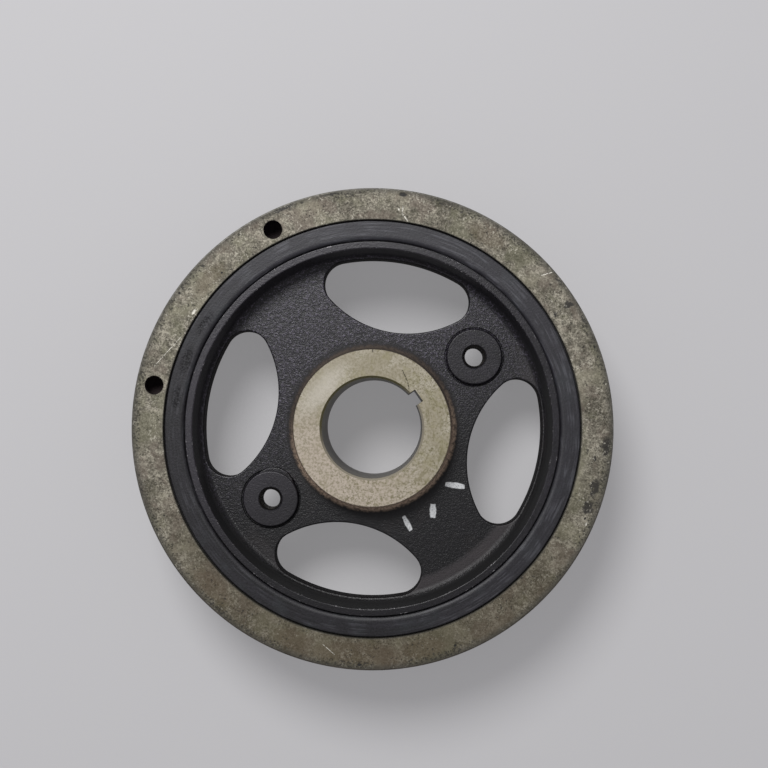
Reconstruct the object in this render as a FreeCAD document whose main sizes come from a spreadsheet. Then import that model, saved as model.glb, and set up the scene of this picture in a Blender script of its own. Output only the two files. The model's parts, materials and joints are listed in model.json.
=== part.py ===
import FreeCAD
import Part
import Sketcher
import math
import os

# Crankshaft pulley with a torsional vibration damper, in millimetres.
# The bore axis is Z. The rear end face of the hub, which seats on the crankshaft,
# lies at Z = 0, and the front of the engine is +Z.
# An iron hub carries a rubber ring, and the rubber carries an iron inertia ring
# with the belt track round its outside.

SIZES = {
    # bore, keyway and the faces that seat
    "hub_length": 38.0,
    "bore_radius": 18.0,
    "bore_chamfer": 0.5,
    "key_width": 5.0,
    "key_depth": 2.5,
    "key_angle": 45.0,
    # oil seal journal and boss, as walls round the bore
    "journal_wall": 6.0,
    "journal_lead": 1.2,
    "rear_boss_wall": 9.5,
    "rear_boss_height": 4.0,
    "front_boss_wall": 10.1,
    "boss_fillet": 2.2,
    "boss_chamfer": 0.3,
    # web and rim of the hub
    "web_setback": 10.5,
    "web_thickness": 7.5,
    "casting_draft": 6.0,
    "rim_wall": 2.4,
    "rim_fillet": 2.6,
    "rim_chamfer": 0.4,
    "rim_setback": 0.6,
    # windows through the web
    "window_count": 4,
    "window_rim_margin": 2.6,
    "window_boss_margin": 7.5,
    "window_bulge_radius": 38.5,
    "window_tip_radius": 8.2,
    "window_round": 0.6,
    "window_clearance": 0.1,
    # raised pads with the tapped puller holes, a little inside the middle of the web
    "puller_count": 2,
    "puller_angle": 45.0,
    "puller_inset": 1.05,
    "pad_radius": 9.9,
    "pad_height": 1.5,
    "pad_draft": 15.0,
    "puller_hole_diameter": 6.8,
    "puller_mouth_diameter": 8.8,
    "puller_mouth_angle": 90.0,
    # rubber ring between the rim and the inertia ring
    "rubber_thickness": 7.9,
    "rubber_setback": 0.8,
    "rubber_gap_width": 0.6,
    "rubber_gap_depth": 1.6,
    "rubber_round": 1.3,
    # inertia ring, with balance holes a little inside the middle of its face
    "ring_radius": 86.0,
    "ring_wall": 11.3,
    "ring_width": 28.0,
    "ring_chamfer": 0.6,
    "balance_hole_diameter": 6.8,
    "balance_hole_depth": 6.0,
    "balance_inset": 0.95,
    "first_balance_angle": 126.7,
    "second_balance_angle": 179.0,
    "drill_point_angle": 118.0,
    # ribbed belt track
    "groove_count": 7,
    "groove_pitch": 3.56,
    "groove_depth": 2.5,
    "groove_angle": 40.0,
    "groove_floor": 0.7,
    "groove_overrun": 0.6,
}

# Radii and heights that several pieces share, worked out from the sizes above.
DERIVED = {
    # radii, from the bore outwards and from the outside inwards
    "journal_radius": "=bore_radius + journal_wall",
    "rear_boss_radius": "=bore_radius + rear_boss_wall",
    "front_boss_radius": "=bore_radius + front_boss_wall",
    "ring_inner_radius": "=ring_radius - ring_wall",
    "rim_outer_radius": "=ring_inner_radius - rubber_thickness",
    "rim_inner_radius": "=rim_outer_radius - rim_wall",
    "window_outer_radius": "=rim_inner_radius - window_rim_margin",
    "window_inner_radius": "=front_boss_radius + window_boss_margin",
    "window_tip": "=min(window_tip_radius; 0.45 * (window_outer_radius - window_inner_radius))",
    "puller_circle_radius": "=(front_boss_radius + rim_inner_radius) / 2 - puller_inset",
    "balance_circle_radius": "=(ring_inner_radius + ring_radius) / 2 - balance_inset",
    # heights, from the front downwards
    "ring_front": "=hub_length",
    "ring_rear": "=ring_front - ring_width",
    "rim_front": "=ring_front - rim_setback",
    "rim_rear": "=ring_rear + rim_setback",
    "rubber_front": "=ring_front - rubber_setback",
    "rubber_rear": "=ring_rear + rubber_setback",
    "web_front": "=hub_length - web_setback",
    "web_rear": "=web_front - web_thickness",
    "pad_front": "=web_front + pad_height",
    "journal_length": "=web_rear - rear_boss_height",
    # behind the web the rim's fillet ends short of the windows' rounded mouths
    "rear_rim_draft": "=(web_rear - rim_rear) * tan(casting_draft)",
    "rear_rim_fillet": "=window_rim_margin - rear_rim_draft - window_round - window_clearance",
    "first_groove": "=ring_rear + (ring_width - (groove_count - 1) * groove_pitch) / 2",
}

doc = FreeCAD.newDocument("crankshaft_pulley")


# the sheet of driving sizes

sheet = doc.addObject("Spreadsheet::Sheet", "sizes")
for row, (alias, size) in enumerate({**SIZES, **DERIVED}.items(), 1):
    sheet.set(f"A{row}", alias)
    sheet.set(f"B{row}", str(size))
    sheet.setAlias(f"B{row}", alias)
doc.recompute()


def value(expression):
    """The number that an expression on the sheet gives now."""
    return float(sheet.evalExpression(expression))


# bodies, sketches and their constraints

def add_body(name):
    body = doc.addObject("PartDesign::Body", name)
    body.Label = name
    return body


def origin_feature(body, role):
    return [item for item in body.Origin.OriginFeatures if item.Role == role][0]


def add_sketch(body, name, plane="XY_Plane", height=None):
    """A sketch on one of the body's own planes, or raised above it to a height."""
    sketch = body.newObject("Sketcher::SketchObject", name)
    sketch.AttachmentSupport = (origin_feature(body, plane), [""])
    sketch.MapMode = "FlatFace"
    if height:
        sketch.setExpression("AttachmentOffset.Base.z", height)
    return sketch


def drive(sketch, name, expression, kind, *where):
    """A dimension that keeps to an expression on the sheet."""
    index = sketch.addConstraint(Sketcher.Constraint(kind, *where, value(expression)))
    sketch.renameConstraint(index, name)
    sketch.setExpression(f"Constraints.{name}", expression)


def place_point(sketch, name, geometry, end, across, up):
    """Put a point at two coordinates, each an expression, or on an axis where it is 0."""
    ways = (("DistanceX", -2, "across", across), ("DistanceY", -1, "up", up))
    for kind, axis, suffix, expression in ways:
        if expression == "0":
            sketch.addConstraint(Sketcher.Constraint("PointOnObject", geometry, end, axis))
        else:
            drive(sketch, f"{name}_{suffix}", expression, kind, geometry, end)


def draw_outline(sketch, corners):
    """A closed outline of straight lines through named corners. Gives each corner's place."""
    places = {name: (value(across), value(up)) for name, (across, up) in corners.items()}
    points = [FreeCAD.Vector(across, up, 0) for across, up in places.values()]
    lines = [Part.LineSegment(points[i - 1], points[i]) for i in range(len(points))]
    sketch.addGeometry(lines, False)
    for i in range(len(lines)):
        following = (i + 1) % len(lines)
        sketch.addConstraint(Sketcher.Constraint("Coincident", i, 2, following, 1))
    for i, (name, (across, up)) in enumerate(corners.items()):
        place_point(sketch, name, i, 2, across, up)
    return places


def draw_circle(sketch, name, radius, across, up):
    centre = FreeCAD.Vector(value(across), value(up), 0)
    index = sketch.addGeometry(Part.Circle(centre, FreeCAD.Vector(0, 0, 1), value(radius)), False)
    place_point(sketch, name, index, 3, across, up)
    drive(sketch, f"{name}_radius", radius, "Radius", index)


# features

def add_revolved(body, name, sketch, kind="PartDesign::Revolution"):
    feature = body.newObject(kind, name)
    feature.Profile = sketch
    feature.ReferenceAxis = (sketch, ["V_Axis"])
    feature.Angle = 360.0
    doc.recompute()
    return feature


def add_pocket(body, name, sketch):
    """A cut right through, from the sketch towards +Z."""
    feature = body.newObject("PartDesign::Pocket", name)
    feature.Profile = sketch
    feature.Type = "ThroughAll"
    feature.Reversed = True
    doc.recompute()
    return feature


def repeat_round(body, name, features, count):
    pattern = body.newObject("PartDesign::PolarPattern", name)
    pattern.Originals = features
    pattern.Axis = (origin_feature(body, "Z_Axis"), [""])
    pattern.Angle = 360.0
    pattern.setExpression("Occurrences", count)
    body.Tip = pattern
    doc.recompute()
    return pattern


def circle_edges(feature, places):
    """Names of the full circles about the bore axis at the given radii and heights."""
    names = []
    for number, edge in enumerate(feature.Shape.Edges, 1):
        if not isinstance(edge.Curve, Part.Circle) or not edge.isClosed():
            continue
        found = (edge.Curve.Radius, edge.Curve.Center.z)
        if any(math.dist(found, place) < 1e-4 for place in places):
            names.append(f"Edge{number}")
    return names


FILLET = "PartDesign::Fillet"
CHAMFER = "PartDesign::Chamfer"


def dress_edges(body, name, edges, size, kind):
    """A fillet or chamfer along named edges of the body's last feature."""
    base = body.Tip
    feature = body.newObject(kind, name)
    feature.Base = (base, edges)
    feature.setExpression("Radius" if kind == FILLET else "Size", size)
    body.Tip = feature
    doc.recompute()
    return feature


def add_hole(body, name, sketch, diameter):
    """A drilled hole, from the sketch towards -Z."""
    doc.recompute()
    hole = body.newObject("PartDesign::Hole", name)
    hole.Profile = sketch
    hole.ThreadType = "None"
    hole.Threaded = False
    hole.setExpression("Diameter", diameter)
    hole.DepthType = "ThroughAll"
    return hole


# hub casting: journal, boss, web and rim in one section, turned about the bore

hub = add_body("hub")
draft = "tan(sizes.casting_draft)"
section = add_sketch(hub, "hub_section", "XZ_Plane")
corner = draw_outline(section, {
    "bore_rear": ("sizes.bore_radius", "0"),
    "journal_end": ("sizes.journal_radius", "0"),
    "journal_root": ("sizes.journal_radius", "sizes.journal_length"),
    "rear_boss_edge": ("sizes.rear_boss_radius", "sizes.journal_length"),
    "rear_boss_foot": (
        f"sizes.rear_boss_radius + (sizes.web_rear - sizes.journal_length) * {draft}",
        "sizes.web_rear",
    ),
    "rear_rim_foot": (
        f"sizes.rim_inner_radius - (sizes.web_rear - sizes.rim_rear) * {draft}",
        "sizes.web_rear",
    ),
    "rear_rim_lip": ("sizes.rim_inner_radius", "sizes.rim_rear"),
    "rear_rim_edge": ("sizes.rim_outer_radius", "sizes.rim_rear"),
    "front_rim_edge": ("sizes.rim_outer_radius", "sizes.rim_front"),
    "front_rim_lip": ("sizes.rim_inner_radius", "sizes.rim_front"),
    "front_rim_foot": (
        f"sizes.rim_inner_radius - (sizes.rim_front - sizes.web_front) * {draft}",
        "sizes.web_front",
    ),
    "front_boss_foot": (
        f"sizes.front_boss_radius + (sizes.hub_length - sizes.web_front) * {draft}",
        "sizes.web_front",
    ),
    "front_boss_edge": ("sizes.front_boss_radius", "sizes.hub_length"),
    "bore_front": ("sizes.bore_radius", "sizes.hub_length"),
})
add_revolved(hub, "casting", section)


def dress_corners(name, corner_names, size, kind):
    edges = circle_edges(hub.Tip, [corner[item] for item in corner_names])
    return dress_edges(hub, name, edges, size, kind)


dress_corners("rim_fillet", ["front_rim_foot"], "sizes.rim_fillet", FILLET)
dress_corners("rear_rim_fillet", ["rear_rim_foot"], "sizes.rear_rim_fillet", FILLET)
dress_corners("boss_fillets", ["rear_boss_foot", "front_boss_foot"], "sizes.boss_fillet", FILLET)
dress_corners("rim_chamfers", ["rear_rim_lip", "front_rim_lip"], "sizes.rim_chamfer", CHAMFER)
dress_corners("bore_chamfers", ["bore_rear", "bore_front"], "sizes.bore_chamfer", CHAMFER)
dress_corners("boss_chamfer", ["front_boss_edge"], "sizes.boss_chamfer", CHAMFER)
dress_corners("seal_lead_in", ["journal_end"], "sizes.journal_lead", CHAMFER)


# windows: an arc along the rim, a fuller arc that bulges to the boss, and round tips

def draw_window(sketch):
    """One window about the +X direction, its four arcs tangent to each other."""
    outer = value("sizes.window_outer_radius")
    bulge = value("sizes.window_bulge_radius")
    tip = value("sizes.window_tip")
    centre = value("sizes.window_inner_radius + sizes.window_bulge_radius")
    tip_x = ((outer - tip) ** 2 - (bulge - tip) ** 2 + centre ** 2) / (2 * centre)
    tip_y = math.sqrt((outer - tip) ** 2 - tip_x ** 2)
    rim_turn = math.atan2(tip_y, tip_x)
    boss_turn = math.atan2(tip_y, tip_x - centre)
    axis = FreeCAD.Vector(0, 0, 1)

    def arc(x, y, radius, start, end):
        circle = Part.Circle(FreeCAD.Vector(x, y, 0), axis, radius)
        return sketch.addGeometry(Part.ArcOfCircle(circle, start, end), False)

    along_rim = arc(0, 0, outer, -rim_turn, rim_turn)
    upper_tip = arc(tip_x, tip_y, tip, rim_turn, boss_turn)
    along_boss = arc(centre, 0, bulge, boss_turn, 2 * math.pi - boss_turn)
    lower_tip = arc(tip_x, -tip_y, tip, -boss_turn, -rim_turn)
    run = [along_rim, upper_tip, along_boss, lower_tip]
    for before, after in zip(run, run[1:] + run[:1]):
        sketch.addConstraint(Sketcher.Constraint("Tangent", before, 2, after, 1))
    sketch.addConstraint(Sketcher.Constraint("Coincident", along_rim, 3, -1, 1))
    sketch.addConstraint(Sketcher.Constraint("PointOnObject", along_boss, 3, -1))
    sketch.addConstraint(Sketcher.Constraint("Equal", upper_tip, lower_tip))
    drive(sketch, "rim_arc", "sizes.window_outer_radius", "Radius", along_rim)
    drive(sketch, "boss_arc", "sizes.window_bulge_radius", "Radius", along_boss)
    drive(sketch, "tip_arc", "sizes.window_tip", "Radius", upper_tip)
    drive(sketch, "boss_arc_centre", "sizes.window_inner_radius + sizes.window_bulge_radius",
          "DistanceX", along_boss, 3)


window_sketch = add_sketch(hub, "window_outline")
draw_window(window_sketch)
window = add_pocket(hub, "window", window_sketch)
windows = repeat_round(hub, "windows", [window], "sizes.window_count")


def window_edges(feature):
    """Names of the edges round the mouths of the windows, on both faces of the web."""
    reach = value("sizes.rim_fillet") / 2
    faces = (value("sizes.web_front"), value("sizes.web_rear"))
    names = []
    for number, edge in enumerate(feature.Shape.Edges, 1):
        box = edge.optimalBoundingBox()
        in_face = any(abs(box.ZMin - z) < reach and abs(box.ZMax - z) < reach for z in faces)
        if in_face and not edge.isClosed():
            names.append(f"Edge{number}")
    return names


dress_edges(hub, "window_rounds", window_edges(windows), "sizes.window_round", FILLET)

# puller pads: low round bosses on the web, each with a tapped hole

pad_sketch = add_sketch(hub, "pad_outline", height="sizes.pad_front")
puller_place = ("sizes.puller_circle_radius * cos(sizes.puller_angle)",
                "sizes.puller_circle_radius * sin(sizes.puller_angle)")
draw_circle(pad_sketch, "pad", "sizes.pad_radius", *puller_place)
pad = hub.newObject("PartDesign::Pad", "puller_pad")
pad.Profile = pad_sketch
pad.Reversed = True
pad.setExpression("Length", "2 * sizes.pad_height")
pad.setExpression("TaperAngle", "sizes.pad_draft")
doc.recompute()
repeat_round(hub, "puller_pads", [pad], "sizes.puller_count")

puller_sketch = add_sketch(hub, "puller_hole_centre", height="sizes.pad_front")
draw_circle(puller_sketch, "hole", "sizes.puller_hole_diameter / 2", *puller_place)
puller_hole = add_hole(hub, "puller_hole", puller_sketch, "sizes.puller_hole_diameter")
puller_hole.HoleCutType = "Countersink"
puller_hole.setExpression("HoleCutDiameter", "sizes.puller_mouth_diameter")
puller_hole.setExpression("HoleCutCountersinkAngle", "sizes.puller_mouth_angle")
doc.recompute()
repeat_round(hub, "puller_holes", [puller_hole], "sizes.puller_count")

# keyway: a slot along the whole bore, turned to the puller holes' line

key_sketch = add_sketch(hub, "key_slot")
key_side = "sizes.key_width / 2"
key_floor = "(sizes.bore_radius + sizes.key_depth)"
key_corners = {"near_left": ("0", key_side), "near_right": ("0", f"-{key_side}"),
               "floor_right": (key_floor, f"-{key_side}"), "floor_left": (key_floor, key_side)}
draw_outline(key_sketch, key_corners)
key_sketch.setExpression("AttachmentOffset.Rotation.Angle", "sizes.key_angle")
add_pocket(hub, "keyway", key_sketch)

# inertia ring: a plain iron ring, the belt grooves, and two blind balance holes

inertia_ring = add_body("inertia_ring")
ring_section = add_sketch(inertia_ring, "ring_section", "XZ_Plane")
ring_corner = draw_outline(ring_section, {
    "inner_rear": ("sizes.ring_inner_radius", "sizes.ring_rear"),
    "outer_rear": ("sizes.ring_radius", "sizes.ring_rear"),
    "outer_front": ("sizes.ring_radius", "sizes.ring_front"),
    "inner_front": ("sizes.ring_inner_radius", "sizes.ring_front"),
})
ring_blank = add_revolved(inertia_ring, "ring_blank", ring_section)
dress_edges(inertia_ring, "ring_chamfers",
            circle_edges(ring_blank, [ring_corner["outer_rear"], ring_corner["outer_front"]]),
            "sizes.ring_chamfer", CHAMFER)

groove_sketch = add_sketch(inertia_ring, "groove_outline", "XZ_Plane")
flank = "tan(sizes.groove_angle / 2)"
floor_side = "sizes.groove_floor / 2"
mouth_side = f"({floor_side} + (sizes.groove_depth + sizes.groove_overrun) * {flank})"
groove_bottom = "sizes.ring_radius - sizes.groove_depth"
groove_mouth = "sizes.ring_radius + sizes.groove_overrun"
draw_outline(groove_sketch, {
    "floor_rear": (groove_bottom, f"sizes.first_groove - {floor_side}"),
    "mouth_rear": (groove_mouth, f"sizes.first_groove - {mouth_side}"),
    "mouth_front": (groove_mouth, f"sizes.first_groove + {mouth_side}"),
    "floor_front": (groove_bottom, f"sizes.first_groove + {floor_side}"),
})
groove = add_revolved(inertia_ring, "belt_groove", groove_sketch, "PartDesign::Groove")
belt_track = inertia_ring.newObject("PartDesign::LinearPattern", "belt_track")
belt_track.Originals = [groove]
belt_track.Direction = (origin_feature(inertia_ring, "Z_Axis"), [""])
belt_track.setExpression("Length", "(sizes.groove_count - 1) * sizes.groove_pitch")
belt_track.setExpression("Occurrences", "sizes.groove_count")
inertia_ring.Tip = belt_track
doc.recompute()

balance_sketch = add_sketch(inertia_ring, "balance_hole_centres", height="sizes.ring_front")
for name in ("first", "second"):
    angle = f"sizes.{name}_balance_angle"
    draw_circle(balance_sketch, name, "sizes.balance_hole_diameter / 2",
                f"sizes.balance_circle_radius * cos({angle})",
                f"sizes.balance_circle_radius * sin({angle})")
balance_holes = add_hole(inertia_ring, "balance_holes", balance_sketch, "sizes.balance_hole_diameter")
balance_holes.DepthType = "Dimension"
balance_holes.setExpression("Depth", "sizes.balance_hole_depth")
balance_holes.DrillPoint = "Angled"
balance_holes.setExpression("DrillPointAngle", "sizes.drill_point_angle")
doc.recompute()

# rubber ring: bonded to the rim and the inertia ring, its ends stand free between narrow gaps

damper_rubber = add_body("damper_rubber")
rubber_section = add_sketch(damper_rubber, "rubber_section", "XZ_Plane")
inner_free = "sizes.rim_outer_radius + sizes.rubber_gap_width"
outer_free = "sizes.ring_inner_radius - sizes.rubber_gap_width"
rear_bond = "sizes.rubber_rear + sizes.rubber_gap_depth"
front_bond = "sizes.rubber_front - sizes.rubber_gap_depth"
rubber_corner = draw_outline(rubber_section, {
    "inner_rear_bond": ("sizes.rim_outer_radius", rear_bond),
    "inner_rear_gap": (inner_free, rear_bond),
    "inner_rear_end": (inner_free, "sizes.rubber_rear"),
    "outer_rear_end": (outer_free, "sizes.rubber_rear"),
    "outer_rear_gap": (outer_free, rear_bond),
    "outer_rear_bond": ("sizes.ring_inner_radius", rear_bond),
    "outer_front_bond": ("sizes.ring_inner_radius", front_bond),
    "outer_front_gap": (outer_free, front_bond),
    "outer_front_end": (outer_free, "sizes.rubber_front"),
    "inner_front_end": (inner_free, "sizes.rubber_front"),
    "inner_front_gap": (inner_free, front_bond),
    "inner_front_bond": ("sizes.rim_outer_radius", front_bond),
})
rubber_band = add_revolved(damper_rubber, "rubber_band", rubber_section)
free_ends = [place for name, place in rubber_corner.items() if name.endswith("_end")]
dress_edges(damper_rubber, "rounded_ends", circle_edges(rubber_band, free_ends),
            "sizes.rubber_round", FILLET)

# every object has to be sound before anything is written

doc.recompute()
for item in doc.Objects:
    if "Invalid" in item.State or "Error" in item.State:
        raise RuntimeError(f"{item.Name} did not build: {item.State}")

os.makedirs("parts", exist_ok=True)
bodies = [hub, damper_rubber, inertia_ring]
for body in bodies:
    if body.Shape.isNull() or not body.Shape.isValid():
        raise RuntimeError(f"{body.Label} has no valid solid")
for body in bodies:
    body.Shape.exportStep(f"parts/{body.Label}.step")
    box = body.Shape.optimalBoundingBox(False)
    print(body.Label, len(body.Shape.Solids), "solid", round(body.Shape.Volume, 1), "mm3",
          "Z", round(box.ZMin, 3), round(box.ZMax, 3), "reach", round(box.XMax, 3))
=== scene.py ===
import json
import math

import bmesh
import bpy
from mathutils import Matrix, Vector


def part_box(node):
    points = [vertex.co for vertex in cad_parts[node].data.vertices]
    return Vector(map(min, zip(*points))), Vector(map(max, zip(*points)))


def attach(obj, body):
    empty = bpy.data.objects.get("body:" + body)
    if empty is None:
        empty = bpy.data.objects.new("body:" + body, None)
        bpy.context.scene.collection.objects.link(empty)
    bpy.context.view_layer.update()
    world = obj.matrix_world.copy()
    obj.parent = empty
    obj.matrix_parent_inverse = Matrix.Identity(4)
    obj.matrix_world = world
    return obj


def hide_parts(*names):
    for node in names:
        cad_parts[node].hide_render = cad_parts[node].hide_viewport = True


# Crankshaft pulley with a vibration damper. It lies on the rear end of its hub, and the
# camera looks down on its front. Sizes are in millimetres, angles in degrees.

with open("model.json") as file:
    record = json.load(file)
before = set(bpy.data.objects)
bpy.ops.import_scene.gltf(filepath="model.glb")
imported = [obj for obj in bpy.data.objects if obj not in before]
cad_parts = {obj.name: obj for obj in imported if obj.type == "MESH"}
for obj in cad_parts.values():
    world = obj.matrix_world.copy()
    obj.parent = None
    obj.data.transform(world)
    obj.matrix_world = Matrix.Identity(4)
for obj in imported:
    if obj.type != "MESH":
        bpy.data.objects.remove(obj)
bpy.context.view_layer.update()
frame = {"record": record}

MM = 0.001

# sizes taken from the frame

hub_low, hub_high = (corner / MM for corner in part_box("hub"))
ring_low, ring_high = (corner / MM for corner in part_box("inertia_ring"))
rubber_low, rubber_high = (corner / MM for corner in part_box("damper_rubber"))
mount_sizes = {mount["name"]: mount["dims"] for mount in frame["record"]["mounts"]}

BORE_RADIUS = mount_sizes["bore"]["r_mm"]
JOURNAL_RADIUS = mount_sizes["seal_journal"]["r_mm"]
PULLER_CIRCLE = mount_sizes["puller_holes"]["pcd_mm"] / 2
PULLER_RADIUS = mount_sizes["puller_holes"]["hole_r_mm"]
HUB_REAR, HUB_FRONT = hub_low.z, hub_high.z
RIM_OUTSIDE = hub_high.x
RING_REAR, RING_FRONT = ring_low.z, ring_high.z
RING_OUTSIDE = ring_high.x
RING_INSIDE = rubber_high.x
RUBBER_REAR, RUBBER_FRONT = rubber_low.z, rubber_high.z

# sizes of the hub casting

REAR_BOSS_RADIUS, REAR_BOSS_ROUND = 27.5, 0.6
FRONT_BOSS_RADIUS, FRONT_BOSS_ROUND = 28.1, 0.3
BOSS_FILLET = 2.2
BORE_ROUND, BORE_CHAMFER = 0.5, 0.7
JOURNAL_TOP, JOURNAL_LEAD, JOURNAL_FOOT = 16.0, 1.2, 0.5
WEB_REAR, WEB_FRONT = 20.0, 27.5
RIM_SETBACK = 0.6
RIM_INSIDE = RIM_OUTSIDE - 2.4
RIM_FILLET, RIM_REAR_FILLET = 2.6, 0.9
RIM_INNER_ROUND, RIM_OUTER_ROUND = 0.4, 0.25
RIM_REAR, RIM_FRONT = RING_REAR + RIM_SETBACK, RING_FRONT - RIM_SETBACK
CASTING_DRAFT = 6.0
KEY_WIDTH, KEY_DEPTH, KEY_ANGLE = 5.0, 2.5, 45.0
WINDOW_RIM_RADIUS = RIM_INSIDE - 2.6
WINDOW_BOSS_RADIUS = FRONT_BOSS_RADIUS + 7.5
WINDOW_BULGE = 38.5
WINDOW_TIP = 8.2
WINDOW_ROUND = 0.6
WINDOW_COUNT = 4
PULLER_ANGLE = 45.0
PULLER_PLACES = [(side * PULLER_CIRCLE * math.cos(math.radians(PULLER_ANGLE)),
                  side * PULLER_CIRCLE * math.sin(math.radians(PULLER_ANGLE))) for side in (1, -1)]
PAD_RADIUS, PAD_HEIGHT, PAD_DRAFT, PAD_ROUND = 9.9, 1.5, 15.0, 0.35
MOAT_WIDTH, MOAT_DEPTH = 0.7, 0.6
CRESCENT_RADIUS, CRESCENT_SHIFT, CRESCENT_HEIGHT = 7.6, 3.9, 0.9
THREAD_RADIUS, THREAD_PITCH, THREAD_ROOM = 4.0, 1.25, 0.1
MOUTH_RADIUS = 4.4

# sizes of the rubber band and the inertia ring

RUBBER_GAP, RUBBER_GAP_DEPTH = 0.4, 1.6
RUBBER_INNER_ROUND, RUBBER_OUTER_ROUND = 1.9, 0.5
BALANCE_RADIUS, BALANCE_DEPTH = 3.4, 6.0
BALANCE_CIRCLE = (RING_INSIDE + RING_OUTSIDE) / 2 - 0.95
BALANCE_ANGLES = (126.7, 179.0)
DRILL_TIP = 118.0
GROOVE_COUNT, GROOVE_PITCH, GROOVE_DEPTH = 7, 3.56, 2.5
GROOVE_FLOOR, GROOVE_ANGLE = 0.7, 40.0
GROOVE_CROWN_ROUND, GROOVE_FLOOR_ROUND = 0.22, 0.15
RING_OUTER_ROUND, RING_INNER_ROUND = 0.6, 0.2

# the photograph's view: how far the part is turned in it, and where the eye stands

VIEW_TURN = 10.15
VIEW_RIGHT = Vector((math.cos(math.radians(VIEW_TURN)), math.sin(math.radians(VIEW_TURN)), 0))
VIEW_UP = Vector((-VIEW_RIGHT.y, VIEW_RIGHT.x, 0))
EYE_RIGHT, EYE_UP, EYE_DISTANCE = 10.6, 5.0, 430.0
AIM_RIGHT, AIM_UP = 4.33, 15.7
MM_PER_PIXEL = 0.3564
PHOTO_WIDTH = 768
SENSOR_WIDTH = 36.0

STEPS_ROUND = 256
STEPS_PAD = 96
STEPS_HOLE = 64
CUT_OVERRUN = 1.0
NEAR = 0.1

# marks of use on the front, seen in the view: angle, distance from the bore's axis, length,
# width, and how far the length leans off the spoke

PAINT_DABS = ((-35, 36.6, 7.4, 2.3, 27), (-54, 37.4, 5.2, 2.6, -38), (-70, 37.0, 6.2, 2.0, 8))
BOSS_CRACK = ((57.8, 22.1, 4.5, 0.45, 57), (49.5, 20.1, 3.0, 0.4, 52), (89.4, 27.8, 1.4, 0.5, 0))
RUBBER_SMUDGES = ((148, 70.7, 4.6, 12), (160, 70.7, 5.4, 13), (171, 70.7, 4.6, 11),
                  (173, 71.3, 2.6, 2.4))
RING_BROWNED = ((59, 80, 9, 20), (137, 79, 8, 18), (225, 80, 9, 24), (250, 80, 9, 20), (266, 80, 10, 46),
                (283, 80, 9, 22))
RING_STAINS = ((355.5, 83.4, 4.2, 8.5), (345, 82.0, 4.2, 8), (340, 81.6, 4.6, 7), (352, 79.9, 1.6, 2.4),
               (32.1, 82.7, 3.6, 3.4), (31.9, 77, 2.2, 3.2), (27.4, 84.7, 1.6, 4.4), (38, 84.6, 1.4, 6),
               (112, 84.8, 1.6, 9), (100, 85, 1.2, 7))
RING_PITS = ((82.4, 84.2, 2.0, 3.8), (134, 77.3, 0.9, 1.1), (145, 84.1, 1.0, 1.2), (337, 82.2, 0.9, 1.3),
             (267, 84.0, 1.5, 2.2), (291, 82.5, 1.1, 1.4), (20, 84.3, 0.9, 1.6))
RING_SCRATCHES = ((82, 78.9, 3.2, 0.6, 0), (81, 76.2, 3.6, 0.6, 46), (159.4, 78, 15.6, 0.3, -112),
                  (41.3, 83.5, 5.2, 0.5, -25), (259, 80, 6, 0.3, 60))
RING_CHIPS = ((146.9, 76.1, 1.4, 2.8, 0), (83, 78.9, 1.2, 0.9, 20), (335.9, 83.3, 0.8, 1.6, 0))

# the studio: a floor that glows a little, a dim sky and one wide lamp, in metres and watts

FLOOR_SIZE = 6
FLOOR_COLOUR = (0.578, 0.572, 0.584, 1)
FLOOR_GLOW = 0.36
SKY_COLOUR = (0.96, 0.95, 1.0, 1)
SKY_STRENGTH = 0.32
LAMP_SIZE, LAMP_POWER = 0.45, 7.9
LAMP_PLACE = VIEW_UP * 0.55 - VIEW_RIGHT * 0.22 + Vector((0, 0, 0.85))


# finishes, built of shader nodes

class Wire:
    """One output of a finish's node. Sums written with it become Math nodes."""

    def __init__(self, finish, socket):
        self.finish = finish
        self.socket = socket

    def __add__(self, other):
        return self.finish.math("ADD", self, other)

    def __sub__(self, other):
        return self.finish.math("SUBTRACT", self, other)

    def __rsub__(self, other):
        return self.finish.math("SUBTRACT", other, self)

    def __mul__(self, other):
        return self.finish.math("MULTIPLY", self, other)

    def __truediv__(self, other):
        return self.finish.math("DIVIDE", self, other)

    def __abs__(self):
        return self.finish.math("ABSOLUTE", self)

    __radd__ = __add__
    __rmul__ = __mul__


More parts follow.
